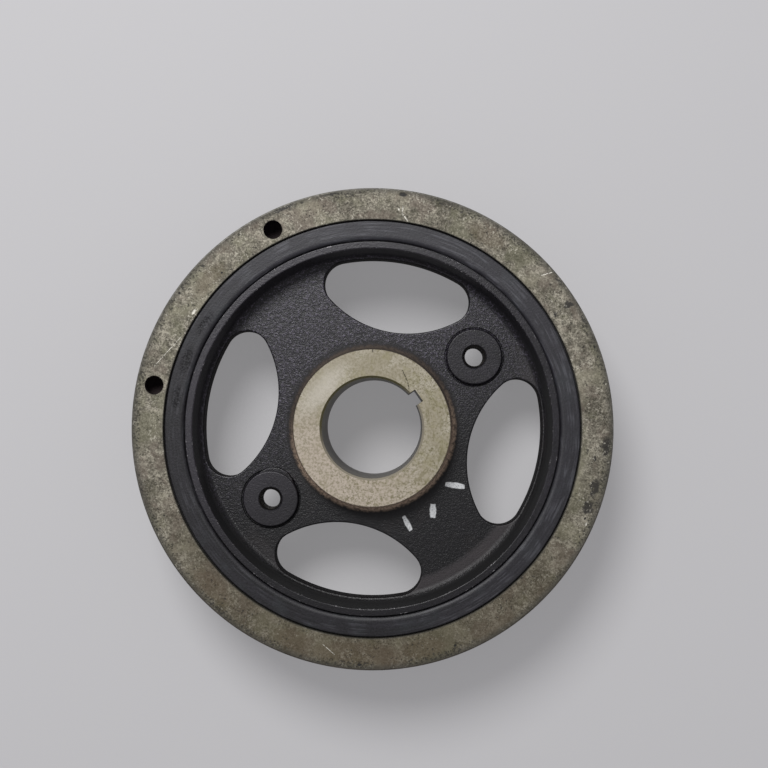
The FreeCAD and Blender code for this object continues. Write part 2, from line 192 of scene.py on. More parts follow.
class Finish:
    """A material in the making. It reads places in millimetres, as the modelling does."""

    def __init__(self, name):
        self.material = bpy.data.materials.new(name)
        self.material.use_nodes = True
        self.tree = self.material.node_tree
        self.tree.nodes.clear()
        metres = self.node("ShaderNodeTexCoord", output="Object")
        self.place = self.vector("SCALE", metres, scale=1 / MM)
        flat = self.vector("MULTIPLY", self.place, (1, 1, 0))
        self.radius = self.vector("LENGTH", flat, output="Value")
        self.spoke = self.vector("NORMALIZE", flat)
        self.height = self.part(self.place, "Z")

    def node(self, kind, settings=None, inputs=None, output=0):
        """Any node: its settings first, then its sockets' values or links."""
        made = self.tree.nodes.new(kind)
        for key, setting in (settings or {}).items():
            setattr(made, key, setting)
        for key, given in (inputs or {}).items():
            if isinstance(given, Wire):
                self.tree.links.new(given.socket, made.inputs[key])
            else:
                made.inputs[key].default_value = given
        return Wire(self, made.outputs[output])

    def math(self, operation, *values):
        return self.node("ShaderNodeMath", {"operation": operation}, dict(enumerate(values)))

    def vector(self, operation, *values, scale=None, output="Vector"):
        inputs = dict(enumerate(values))
        if scale is not None:
            inputs["Scale"] = scale
        return self.node("ShaderNodeVectorMath", {"operation": operation}, inputs, output)

    def part(self, vector, axis):
        return self.node("ShaderNodeSeparateXYZ", inputs={"Vector": vector}, output=axis)

    def upper(self, first, *others):
        """The highest of several masks."""
        for other in others:
            first = self.math("MAXIMUM", first, other)
        return first

    def between(self, value, low, high):
        """0 up to low, 1 from high on, and a smooth rise from one to the other."""
        return self.node("ShaderNodeMapRange", {"interpolation_type": "SMOOTHSTEP"},
                         {"Value": value, "From Min": low, "From Max": high})

    def band(self, value, low, high, soft):
        """1 from low to high, and 0 outside, with soft edges."""
        past_low = self.between(value, low - soft, low + soft)
        return past_low * (1 - self.between(value, high - soft, high + soft))

    def noise(self, size, detail=3.0, roughness=0.6, place=None, output="Fac"):
        """Clouds whose lumps are about size millimetres apart."""
        return self.node("ShaderNodeTexNoise", inputs={
            "Vector": place or self.place, "Scale": 1 / size, "Detail": detail, "Roughness": roughness,
        }, output=output)

    def ragged(self, size, reach):
        """Places shifted here and there, so that a mark on them gets a ragged edge."""
        shift = self.vector("SUBTRACT", self.noise(size, output="Color"), (0.5, 0.5, 0.5))
        return self.vector("ADD", self.place, self.vector("SCALE", shift, scale=2 * reach))

    def streaks(self, along, across):
        """Places wound round the bore: lumps on them are long one way and narrow the other."""
        spread = self.vector("SCALE", self.spoke, scale=1 / along)
        rise = self.node("ShaderNodeCombineXYZ", inputs={"Z": self.radius / across})
        return self.vector("ADD", spread, rise)

    def mark(self, angle, radius, length, width, lean=0.0, soft=0.5, place=None):
        """An oval mark on the front, at an angle seen in the view, its length leaning off the spoke."""
        local = self.mark_place(angle, radius, length, width, lean, place)
        return 1 - self.between(self.vector("LENGTH", local, output="Value"), 1 - soft, 1.0)

    def mark_place(self, angle, radius, length, width, lean, place=None):
        """Places measured from a mark's middle, 1 at the ends of its length and width."""
        turn = math.radians(angle + VIEW_TURN)
        return self.node("ShaderNodeMapping", {"vector_type": "TEXTURE"}, {
            "Vector": place or self.place,
            "Location": (radius * math.cos(turn), radius * math.sin(turn), 0),
            "Rotation": (0, 0, turn + math.radians(lean)),
            "Scale": (length / 2, width / 2, 1 / MM),
        })

    def marks(self, rows, place=None):
        return self.upper(*(self.mark(*row, place=place) for row in rows))

    def stroke(self, angle, radius, length, width, lean, place=None):
        """A straight stroke with blunt ends, placed as a mark is."""
        local = self.mark_place(angle, radius, length, width, lean, place)
        along = abs(self.part(local, "X"))
        aside = abs(self.part(local, "Y")) + along * along * 0.3
        return (1 - self.between(along, 0.9, 1.0)) * (1 - self.between(aside, 0.7, 1.05))

    def strokes(self, rows, place=None):
        return self.upper(*(self.stroke(*row, place=place) for row in rows))

    def facing(self, direction, low, high):
        """1 on the side of the bore that a direction in the view points to, and 0 on the other."""
        along = self.vector("DOT_PRODUCT", self.spoke, tuple(direction), output="Value")
        return self.between(along, low, high)

    def mix(self, mask, under, over):
        return self.node("ShaderNodeMix", {"data_type": "RGBA"}, {0: mask, 6: under, 7: over}, output=2)

    def bump(self, height, depth):
        """Relief of a depth in millimetres."""
        return self.node("ShaderNodeBump", inputs={"Height": height, "Distance": depth * MM})

    def done(self, colour, roughness, metallic=0.0, normal=None, gloss=0.5):
        """The shader and the output. Gives the finished material."""
        inputs = {"Base Color": colour, "Roughness": roughness, "Metallic": metallic,
                  "Specular IOR Level": gloss}
        if normal:
            inputs["Normal"] = normal
        self.node_output(self.node("ShaderNodeBsdfPrincipled", inputs=inputs))
        return self.material

    def node_output(self, shader):
        end = self.tree.nodes.new("ShaderNodeOutputMaterial")
        self.tree.links.new(shader.socket, end.inputs["Surface"])


def tint(red, green, blue):
    """A colour as a paint card gives it, from 0 to 255."""
    def linear(part):
        part /= 255
        return part / 12.92 if part <= 0.04045 else ((part + 0.055) / 1.055) ** 2.4
    return (linear(red), linear(green), linear(blue), 1)


def cast_paint():
    """Black satin paint over a sand-cast skin, with a rusty foot round the front boss. Painted light and
    shade: its upper-left side is lighter, the rim's inner wall and a ring round the boss's foot are in
    painted shade, and the rim's lower foot and the rust's lower side are painted lighter.
    """
    finish = Finish("cast_paint")
    lumps = finish.noise(3.2, 2, 0.5)
    grain = finish.noise(1.05, 2, 0.6)
    fine = finish.noise(0.5, 2, 0.6)
    relief = lumps * 0.15 + grain * 0.4 + fine * 0.45
    # Painted sheen: lit marks the upper-left side, where the paint's tones are painted lighter and its dust
    # painted stronger.
    lit = finish.facing(VIEW_UP - VIEW_RIGHT * 0.3, -0.6, 0.9)
    hollows = finish.mix(lit, tint(3, 3, 4), tint(9, 8, 12))
    peaks = finish.mix(lit, tint(9, 8, 11), tint(29, 26, 35))
    paint = finish.mix(finish.between(relief, 0.4, 0.6), hollows, peaks)
    dust = finish.between(fine * 0.6 + grain * 0.4, 0.5, 0.66)
    colour = finish.mix(dust * (0.05 + lit * 0.66), paint, tint(112, 106, 122))
    clouds = finish.noise(14, 3, 0.6)
    colour = finish.mix(finish.between(clouds, 0.5, 0.7) * 0.15, colour, tint(50, 44, 42))
    # Painted shade on the rim's inner wall, less deep on its upper side.
    upper = finish.facing(VIEW_UP - VIEW_RIGHT * 0.2, -0.3, 0.6)
    shade = finish.band(finish.radius, RIM_INSIDE - 1.5, RIM_INSIDE + 0.1, 0.3)
    colour = finish.mix(shade * 0.8, colour, finish.mix(upper, tint(3, 3, 4), tint(20, 18, 24)))
    # Dust and painted light on the lower-right side of the rim's foot, where the fillet faces the lamp.
    dust_and_painted_light_foot = finish.band(finish.radius + grain * 0.6, RIM_INSIDE - 6.6, RIM_INSIDE - 2.6, 1.3)
    dust_and_painted_light_foot = dust_and_painted_light_foot * finish.facing(VIEW_RIGHT * 0.7 - VIEW_UP, 0.0, 0.8)
    colour = finish.mix(dust_and_painted_light_foot * (0.2 + fine * 0.35), colour, tint(88, 82, 84))
    in_front = finish.between(finish.height, WEB_FRONT - 1, WEB_FRONT - 0.5)
    near_boss = (1 - finish.between(finish.radius + grain * 1.2, 29.7, 31.7)) * in_front
    # Painted shade: near_foot darkens a ring round the boss's foot.
    near_foot = (1 - finish.between(finish.radius + grain * 1.2, 30.8, 33.4)) * in_front
    colour = finish.mix(near_foot * 0.8, colour, tint(13, 10, 11))
    # Painted light: the rust round the boss is painted lighter on the side that the boss shades from the
    # lamp.
    rust_painted_light_side = finish.facing(VIEW_RIGHT * 0.2 - VIEW_UP, -0.45, 0.6)
    rusty = finish.mix(rust_painted_light_side, tint(74, 64, 56), tint(190, 166, 144))
    rusty = finish.mix(finish.between(grain, 0.46, 0.62) * 0.55, rusty, tint(44, 37, 33))
    colour = finish.mix(near_boss, colour, rusty)
    foot_line = finish.band(finish.radius + lumps * 0.5, 31.4, 31.7, 0.3) * in_front
    colour = finish.mix(foot_line * 0.6, colour, tint(12, 10, 10))
    bristles = finish.between(finish.noise(0.5, 2, 0.6), 0.36, 0.5)
    dabs = finish.strokes(PAINT_DABS, finish.ragged(1.1, 0.35)) * (0.55 + bristles * 0.45) * in_front
    colour = finish.mix(dabs, colour, finish.mix(grain, tint(186, 188, 190), tint(228, 230, 230)))
    rough = 0.35 + near_foot * 0.35 + dust_and_painted_light_foot * 0.3 + dabs * 0.2 + shade * 0.4 + fine * 0.08
    return finish.done(colour, rough, normal=finish.bump(relief + dabs * 0.1, 0.31))


def window_paint():
    """The same paint inside the windows, thin, matt and dirty."""
    finish = Finish("window_paint")
    grain = finish.noise(0.8, 3, 0.6)
    colour = finish.mix(grain, tint(7, 6, 8), tint(22, 19, 20))
    return finish.done(colour, 0.7 + grain * 0.2, normal=finish.bump(grain, 0.2), gloss=0.15)


def smooth_paint():
    """The same paint over turned iron, with bare chips along its edges, painted lighter towards the upper
    left and darker towards the bottom as painted light and shade.
    """
    finish = Finish("smooth_paint")
    grain = finish.noise(0.5, 3, 0.6)
    clouds = finish.noise(6, 3, 0.6)
    rough_skin = finish.noise(0.9, 3, 0.7)
    mottle = finish.between(grain * 0.4 + rough_skin * 0.4 + clouds * 0.2, 0.4, 0.6)
    colour = finish.mix(mottle, tint(10, 9, 12), tint(36, 33, 40))
    # The upper-left side is painted lighter with chalky dust and painted sheen, and the lower side darker as
    # painted shade.
    chalk_and_painted_sheen = finish.facing(VIEW_UP * 0.6 - VIEW_RIGHT, -0.2, 1.1) * (0.3 + grain * 0.4)
    colour = finish.mix(chalk_and_painted_sheen, colour, tint(60, 57, 64))
    colour = finish.mix(finish.facing(-VIEW_UP, 0.2, 0.9) * 0.6, colour, tint(8, 7, 9))
    at_edge = finish.upper(1 - finish.between(abs(finish.radius - RIM_INSIDE), 0.1, 0.35),
                           1 - finish.between(abs(finish.radius - RIM_OUTSIDE), 0.1, 0.35))
    flaked = finish.between(finish.noise(0.7, 3, 0.7), 0.57, 0.62)
    chips = at_edge * flaked * finish.between(finish.noise(7, 2), 0.48, 0.62)
    colour = finish.mix(chips, colour, tint(176, 173, 176))
    normal = finish.bump(grain + rough_skin, 0.09)
    return finish.done(colour, 0.35 + clouds * 0.1, chips * 0.6, normal)


def boss_face():
    """Pale bare iron that seats the bolt's washer, stained by old oil."""
    finish = Finish("boss_face")
    clouds = finish.noise(8, 4, 0.6)
    grain = finish.noise(0.9, 4, 0.75)
    dry = finish.noise(0.5, 2, 0.7)
    lathe = finish.noise(1.0, 2, 0.6, finish.streaks(0.9, 0.22))
    pale = finish.mix(finish.between(clouds, 0.38, 0.62), tint(158, 150, 130), tint(178, 171, 154))
    warm = finish.facing(-VIEW_RIGHT * 0.5 - VIEW_UP * 0.9, -0.1, 0.9)
    pale = finish.mix(warm * 0.8, pale, tint(190, 177, 163))
    colour = finish.mix(finish.between(grain, 0.44, 0.58) * 0.6, pale, tint(134, 126, 102))
    stain = finish.between(finish.noise(4.5, 5, 0.75), 0.5, 0.62)
    colour = finish.mix(stain * (0.35 - warm * 0.2), colour, tint(140, 134, 96))
    clean = finish.facing(VIEW_UP * 0.7 - VIEW_RIGHT, -0.4, 0.8)
    oil = finish.between(finish.noise(1.8, 5, 0.8), 0.53, 0.64) * (1 - clean * 0.75)
    colour = finish.mix(oil * 0.65, colour, tint(108, 102, 66))
    dotted = finish.between(dry, 0.55, 0.63) * finish.between(clouds + grain * 0.4, 0.62, 0.78)
    colour = finish.mix(dotted * (0.75 - clean * 0.4), colour, tint(84, 79, 52))
    dashes = finish.between(finish.noise(1.0, 3, 0.7, finish.streaks(0.3, 1.3)), 0.54, 0.63)
    dashes = dashes * finish.facing(VIEW_RIGHT * 0.95 - VIEW_UP * 0.25, 0.1, 0.8)
    colour = finish.mix(dashes * 0.5, colour, tint(110, 104, 66))
    bright = finish.mark(140, 22.5, 13, 34, 0, 0.9)
    colour = finish.mix(bright * 0.55, colour, tint(204, 198, 186))
    worn = finish.between(finish.radius + grain * 0.6, FRONT_BOSS_RADIUS - 0.1, FRONT_BOSS_RADIUS + 0.4)
    colour = finish.mix(worn * 0.7, colour, tint(84, 72, 54))
    crack = finish.strokes(BOSS_CRACK, finish.ragged(0.9, 0.45)) * finish.between(dry, 0.4, 0.5)
    colour = finish.mix(crack * 0.85, colour, tint(52, 48, 36))
    normal = finish.bump(lathe * 0.4 + grain * 0.5 - crack * 1.2 - oil * 0.2, 0.05)
    return finish.done(colour, 0.55 + grain * 0.15, 0.15, normal)


def bore_wall():
    """Reamed iron in the bore, browned by oil towards its mouth, and darkened deeper in as painted shade."""
    finish = Finish("bore_wall")
    clouds = finish.noise(4, 4, 0.6)
    tooling = finish.noise(0.25, 2, 0.5, finish.node("ShaderNodeCombineXYZ", inputs={"Z": finish.height}))
    colour = finish.mix(clouds, tint(88, 84, 78), tint(124, 119, 112))
    # Painted shade: the wall darkens deeper in the bore.
    deep = 1 - finish.between(finish.height + clouds * 6, HUB_FRONT - 24, HUB_FRONT - 6)
    colour = finish.mix(deep * 0.6, colour, tint(58, 53, 46))
    oily = finish.facing(VIEW_UP - VIEW_RIGHT * 0.5, 0.0, 0.6)
    browned = finish.between(finish.height + clouds * 8, HUB_FRONT - 30, HUB_FRONT - 8) * (0.12 + oily * 0.8)
    colour = finish.mix(browned, colour, tint(80, 75, 34))
    rubbed = finish.between(finish.height, HUB_FRONT - 0.9, HUB_FRONT - 0.65) * (1 - oily * 0.9)
    colour = finish.mix(rubbed * 0.75, colour, tint(158, 150, 132))
    metallic = 0.6 - finish.upper(rubbed * 0.4, browned * 0.5)
    normal = finish.bump(tooling * 0.6 + clouds * 0.4, 0.02)
    return finish.done(colour, 0.36 + clouds * 0.2, metallic, normal)


def journal():
    """Ground iron that the oil seal runs on, with the bright track of its lip."""
    finish = Finish("seal_journal")
    clouds = finish.noise(6, 4, 0.6)
    lines = finish.noise(0.2, 2, 0.5, finish.node("ShaderNodeCombineXYZ", inputs={"Z": finish.height}))
    track = finish.band(finish.height, 7.2, 8.4, 0.2)
    colour = finish.mix(clouds, tint(128, 125, 118), tint(164, 160, 152))
    colour = finish.mix(track * 0.7, colour, tint(196, 194, 188))
    varnish = finish.between(finish.height + clouds * 3, 10, 14)
    colour = finish.mix(varnish * 0.7, colour, tint(84, 76, 66))
    rough = 0.3 - track * 0.12 + clouds * 0.1 + varnish * 0.2
    return finish.done(colour, rough, 0.85 - varnish * 0.6, finish.bump(lines, 0.01))


def rubber():
    """Matt rubber, greyed by dust in faint streaks round it, with a painted sheen on its upper and right
    sides and painted shade in the gaps at its edges.
    """
    finish = Finish("rubber")
    rings = finish.noise(1.0, 3, 0.6, finish.streaks(0.35, 0.8))
    grain = finish.noise(0.7, 3, 0.7)
    clouds = finish.noise(12, 4, 0.6)
    tone = rings * 0.5 + grain * 0.5
    colour = finish.mix(finish.between(tone, 0.4, 0.62), tint(10, 9, 12), tint(32, 30, 36))
    colour = finish.mix(finish.between(clouds, 0.5, 0.7) * 0.3, colour, tint(52, 58, 60))
    # Painted sheen: dry marks the upper and right sides, which are painted lighter, and the wiped streaks
    # show more there.
    dry = finish.facing(VIEW_UP + VIEW_RIGHT * 0.2, -0.1, 0.9)
    dry = finish.upper(dry, finish.facing(VIEW_RIGHT - VIEW_UP * 0.2, 0.2, 1.1) * 0.7)
    colour = finish.mix(dry * 0.25, colour, tint(70, 69, 77))
    wiped = finish.between(finish.noise(1.0, 3, 0.6, finish.streaks(0.16, 0.7)), 0.48, 0.64)
    wiped = wiped * finish.between(finish.noise(9, 2), 0.4, 0.6) * (0.25 + dry * 0.3)
    colour = finish.mix(wiped, colour, tint(92, 92, 98))
    in_front = finish.between(finish.height, RUBBER_REAR + 1, RUBBER_FRONT - 1)
    dots = finish.between(finish.noise(1.2, 3, 0.7), 0.54, 0.61) * finish.facing(-VIEW_RIGHT, 0.2, 0.9)
    colour = finish.mix(dots * in_front * 0.5, colour, tint(16, 15, 18))
    smudge = finish.marks(RUBBER_SMUDGES, finish.ragged(2, 0.8)) * finish.between(grain, 0.4, 0.6) * in_front
    colour = finish.mix(smudge * 0.7, colour, tint(20, 19, 20))
    # Painted shade in the narrow gaps beside the hub's rim and the ring.
    painted_shade_in_gap = finish.between(abs(finish.radius - (RIM_OUTSIDE + RING_INSIDE) / 2),
                            (RING_INSIDE - RIM_OUTSIDE) / 2 - RUBBER_GAP, (RING_INSIDE - RIM_OUTSIDE) / 2)
    colour = finish.mix(painted_shade_in_gap, colour, tint(10, 9, 9))
    normal = finish.bump(rings * 0.4 + grain * 0.6, 0.14)
    return finish.done(colour, 0.44 + grain * 0.12 + smudge * 0.4, normal=normal)


def ring_face():
    """Turned bare iron gone dull: mottled grey and olive, pitted and scratched."""
    finish = Finish("ring_face")
    clouds = finish.noise(8, 4, 0.6)
    mottle = finish.noise(1.7, 5, 0.78)
    grain = finish.noise(0.6, 3, 0.75)
    in_front = finish.between(finish.height, RING_REAR + 1, RING_FRONT - 1)
    tone = clouds * 0.22 + mottle * 0.36 + grain * 0.42
    colour = finish.mix(finish.between(tone, 0.42, 0.5), tint(72, 68, 56), tint(118, 113, 100))
    colour = finish.mix(finish.between(tone, 0.5, 0.58), colour, tint(172, 166, 150))
    patch = finish.noise(11, 4, 0.6)
    colour = finish.mix(finish.between(patch, 0.5, 0.62) * 0.45, colour, tint(112, 111, 88))
    colour = finish.mix((1 - finish.between(patch, 0.38, 0.48)) * 0.45, colour, tint(110, 98, 88))
    smears = finish.between(finish.noise(2.4, 3, 0.6, finish.streaks(0.07, 9)), 0.5, 0.68)
    colour = finish.mix(smears * 0.4, colour, tint(154, 149, 128))
    # Darker and browner towards the bottom: dirt and painted shade.
    lower = finish.facing(-VIEW_UP, 0.1, 0.9)
    colour = finish.mix(lower * 0.5, colour, tint(72, 62, 38))
    ragged = finish.ragged(2.5, 1.2)
    browned = finish.marks(RING_BROWNED, ragged)
    colour = finish.mix(browned * in_front * 0.4, colour, tint(92, 78, 60))
    stains = finish.marks(RING_STAINS, finish.ragged(1.5, 1.8))
    stains = stains * finish.between(mottle * 0.6 + grain * 0.4, 0.36, 0.46) * in_front
    colour = finish.mix(stains * 0.95, colour, tint(34, 31, 26))
    outer_grime = finish.between(finish.radius + mottle * 3, RING_OUTSIDE - 1.6, RING_OUTSIDE + 1.2)
    inner_grime = 1 - finish.between(finish.radius, RING_INSIDE, RING_INSIDE + 0.5)
    colour = finish.mix(finish.upper(outer_grime, inner_grime) * 0.7, colour, tint(60, 59, 54))
    spots = finish.noise(0.9, 2, 0.7)
    pits = finish.between(spots, 0.6, 0.66) * finish.between(finish.noise(5, 3), 0.44, 0.6)
    by_edge = finish.band(finish.radius + grain, RING_OUTSIDE - 2.6, RING_OUTSIDE - 0.2, 0.4)
    pits = finish.upper(pits, by_edge * finish.between(spots, 0.54, 0.6) * finish.between(patch, 0.44, 0.54))
    black = finish.marks(RING_PITS, finish.ragged(0.9, 0.35)) * in_front
    dark = finish.upper(pits * 0.75, black)
    flecks = finish.between(finish.noise(0.8, 2, 0.7), 0.58, 0.64)
    flecks = flecks * finish.between(finish.noise(6, 3), 0.48, 0.6)
    colour = finish.mix(flecks * (0.6 - lower * 0.4), colour, tint(206, 201, 186))
    colour = finish.mix(dark, colour, tint(30, 28, 24))
    scratches = finish.strokes(RING_SCRATCHES, finish.ragged(1.5, 0.12)) * finish.between(grain, 0.38, 0.5)
    nicks = finish.marks(RING_CHIPS, finish.ragged(0.9, 0.3))
    scratches = finish.upper(scratches, nicks) * in_front
    colour = finish.mix(scratches * 0.9, colour, tint(218, 214, 202))
    around_holes = finish.marks([(angle - VIEW_TURN, BALANCE_CIRCLE, 8.2, 8.2) for angle in BALANCE_ANGLES])
    colour = finish.mix(around_holes * in_front * 0.8, colour, tint(48, 44, 40))
    rough = 0.52 + grain * 0.2 - scratches * 0.15
    metallic = 0.35 - 0.3 * finish.upper(dark, stains)
    normal = finish.bump(mottle * 0.5 + grain * 0.5 - dark * 0.8 - scratches * 0.5, 0.16)
    return finish.done(colour, rough, metallic, normal)


def ring_edge():
    """The chamfers round the ring, rubbed bright in handling."""
    finish = Finish("ring_edge")
    nicks = finish.noise(1.6, 4, 0.7)
    dull = finish.between(finish.noise(11, 3), 0.42, 0.6)
    colour = finish.mix(finish.between(nicks, 0.35, 0.65), tint(74, 72, 64), tint(122, 119, 112))
    colour = finish.mix(dull * 0.6, colour, tint(70, 67, 58))
    # Darker towards the bottom: dirt and painted shade.
    colour = finish.mix(finish.facing(-VIEW_UP, 0.0, 0.7) * 0.7, colour, tint(58, 52, 42))
    return finish.done(colour, 0.45 + nicks * 0.2, 0.5 - dull * 0.3, finish.bump(nicks, 0.08))


def belt_track():
    """The grooves: polished by the belt on their flanks, rusty and grimy at the bottom."""
    finish = Finish("belt_track")
    clouds = finish.noise(8, 5, 0.65)
    grain = finish.noise(0.6, 3, 0.7)
    lines = finish.noise(0.25, 2, 0.5, finish.node("ShaderNodeCombineXYZ", inputs={"Z": finish.height}))
    colour = finish.mix(finish.between(clouds, 0.35, 0.65), tint(116, 112, 104), tint(158, 155, 148))
    depth = RING_OUTSIDE - finish.radius
    grime = finish.between(depth + clouds * 1.2, 1.9, 3.2)
    colour = finish.mix(grime * 0.85, colour, finish.mix(grain, tint(50, 42, 34), tint(86, 66, 48)))
    crown = 1 - finish.between(depth, 0.05, 0.4)
    dirty = crown * finish.between(finish.noise(5, 4), 0.42, 0.62)
    colour = finish.mix(dirty * 0.7, colour, tint(74, 68, 58))
    metallic = 0.85 - grime * 0.7
    rough = 0.3 + grime * 0.4 + grain * 0.12
    return finish.done(colour, rough, metallic, finish.bump(lines * 0.5 + grain * 0.5, 0.03))


def hole_wall():
    """The drilled holes, dark with old oil and rust."""
    finish = Finish("hole_wall")
    grain = finish.noise(0.5, 4, 0.7)
    colour = finish.mix(grain, tint(24, 17, 18), tint(50, 40, 41))
    return finish.done(colour, 0.8, normal=finish.bump(grain, 0.06), gloss=0.2)


def thread_steel():
    """The tapped threads: dark steel, lighter in a fine grain."""
    finish = Finish("thread_steel")
    grain = finish.noise(0.4, 3, 0.6)
    colour = finish.mix(finish.between(grain, 0.35, 0.7), tint(20, 19, 19), tint(60, 57, 54))
    return finish.done(colour, 0.36 + grain * 0.2, 0.7, finish.bump(grain, 0.02))


def floor_finish():
    """A pale matt floor. Seen straight on, and in gloss, part of it is light of its own."""
    finish = Finish("floor")
    matt = finish.node("ShaderNodeBsdfPrincipled", inputs={
        "Base Color": FLOOR_COLOUR, "Roughness": 0.9, "Specular IOR Level": 0.2})
    glow = finish.node("ShaderNodeEmission", inputs={"Color": FLOOR_COLOUR, "Strength": 1.0})
    seen = finish.upper(finish.node("ShaderNodeLightPath", output="Is Camera Ray"),
                        finish.node("ShaderNodeLightPath", output="Is Glossy Ray"))
    finish.node_output(finish.node("ShaderNodeMixShader", inputs={0: seen * FLOOR_GLOW, 1: matt, 2: glow}))
    return finish.material


# modelling with Blender's own tools, at one unit to the millimetre

def select_only(piece):
    bpy.ops.object.select_all(action="DESELECT")
    piece.select_set(True)
    bpy.context.view_layer.objects.active = piece


def edit(piece):
    select_only(piece)
    bpy.ops.object.mode_set(mode="EDIT")
    bpy.ops.mesh.select_mode(type="VERT")


def leave_edit():
    bpy.ops.object.mode_set(mode="OBJECT")


def pick(kind, test):
    """In edit mode, select the verts, edges or faces that pass a test."""
    mesh = bmesh.from_edit_mesh(bpy.context.object.data)
    bpy.ops.mesh.select_mode(type={"verts": "VERT", "edges": "EDGE", "faces": "FACE"}[kind])
    bpy.ops.mesh.select_all(action="DESELECT")
    for item in getattr(mesh, kind):
        item.select_set(test(item))
    bmesh.update_edit_mesh(bpy.context.object.data)


def near(place):
    spot = Vector(place)
    return lambda vert: (vert.co - spot).length < 1e-3


class Outline:
    """An outline drawn in edit mode, one vertex after another."""

    def __init__(self, name, start):
        bpy.ops.object.select_all(action="DESELECT")
        bpy.ops.mesh.primitive_plane_add(size=1, location=(0, 0, 0))
        self.piece = bpy.context.object
        self.piece.name = name
        edit(self.piece)
        bpy.ops.mesh.select_all(action="SELECT")
        bpy.ops.mesh.merge(type="CENTER")
        bpy.ops.transform.translate(value=start)
        self.start = self.end = Vector(start)

    def line(self, *places):
        for place in places:
            step = Vector(place) - self.end
            bpy.ops.mesh.extrude_vertices_move(TRANSFORM_OT_translate={"value": step})
            self.end = Vector(place)

    def arc(self, centre, turn, steps):
        """A round stretch in plan, anticlockwise from the last vertex about an upright axis."""
        bpy.ops.mesh.spin(steps=steps, angle=math.radians(turn), center=centre, axis=(0, 0, -1))
        spoke = self.end - Vector(centre)
        self.end = Vector(centre) + Matrix.Rotation(math.radians(turn), 3, "Z") @ spoke

    def close(self):
        pick("verts", lambda vert: near(self.start)(vert) or near(self.end)(vert))
        bpy.ops.mesh.edge_face_add()

    def ease(self, place, size, segments):
        """Round one corner, or chamfer it where segments is 1."""
        pick("verts", near(place))
        bpy.ops.mesh.bevel(offset=size, offset_type="OFFSET", segments=segments, affect="VERTICES")


def turned(name, corners, steps=STEPS_ROUND):
    """A piece turned about the bore from corners of radius, height, rounding and segments."""
    places = [(radius, 0, height) for radius, height, *_ in corners]
    section = Outline(name, places[0])
    section.line(*places[1:])
    if corners[0][0] > 0:
        section.close()
    for place, (_, _, size, segments) in zip(places, corners):
        if size:
            section.ease(place, size, segments)
    bpy.ops.mesh.select_all(action="SELECT")
    bpy.ops.mesh.spin(steps=steps, angle=math.tau, center=(0, 0, 0), axis=(0, 0, 1))
    tidy_shell()
    leave_edit()
    return section.piece


def tidy_shell():
    """In edit mode, close the seam and point every face outwards."""
    bpy.ops.mesh.select_all(action="SELECT")
    bpy.ops.mesh.remove_doubles(threshold=1e-4)
    bpy.ops.mesh.normals_make_consistent(inside=False)


def apply_modifier(piece, kind, **settings):
    select_only(piece)
    modifier = piece.modifiers.new(kind.lower(), kind)
    for key, setting in settings.items():
        setattr(modifier, key, setting)
    bpy.ops.object.modifier_apply(modifier=modifier.name)


def joined(pieces):
    select_only(pieces[0])
    for piece in pieces[1:]:
        piece.select_set(True)
    if len(pieces) > 1:
        bpy.ops.object.join()
    return pieces[0]


def combine(piece, tools, operation, folded=False):
    """Cut tools out of a piece, or weld them on, and take the tools away."""
    tool = joined(tools)
    apply_modifier(piece, "BOOLEAN", object=tool, operation=operation, solver="EXACT", use_self=folded)
    bpy.data.objects.remove(tool)


def move(piece, across=0.0, up=0.0, height=0.0, turn=0.0):
    """Turn a piece about the bore axis after shifting it, and settle that in its mesh."""
    select_only(piece)
    piece.matrix_world = (Matrix.Rotation(math.radians(turn), 4, "Z")
                          @ Matrix.Translation((across, up, height)) @ piece.matrix_world)
    bpy.ops.object.transform_apply(location=True, rotation=True, scale=True)


def copied(piece, turn):
    twin = piece.copy()
    twin.data = piece.data.copy()
    bpy.context.collection.objects.link(twin)
    move(twin, turn=turn)
    return twin


def paint_faces(piece, finishes):
    """Give faces their finishes. The first is for all, and each later one has a test of a face."""
    for finish, _ in finishes:
        piece.data.materials.append(finish)
    edit(piece)
    for index, (_, test) in enumerate(finishes):
        if test:
            pick("faces", test)
            piece.active_material_index = index
            bpy.ops.object.material_slot_assign()
    leave_edit()


def finish_piece(piece, node, crease=30.0):
    """Smooth the piece, bring it to metres and put it in its place in the frame."""
    select_only(piece)
    bpy.ops.object.shade_smooth_by_angle(angle=math.radians(crease))
    apply_modifier(piece, "WEIGHTED_NORMAL", weight=100, keep_sharp=True)
    piece.scale = (MM, MM, MM)
    bpy.ops.object.transform_apply(location=True, rotation=True, scale=True)
    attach(piece, "root")
    if node:
        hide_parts(node)


def from_axis(place):
    return math.hypot(place.x, place.y)


# hub casting

def draft_over(height):
    return height * math.tan(math.radians(CASTING_DRAFT))


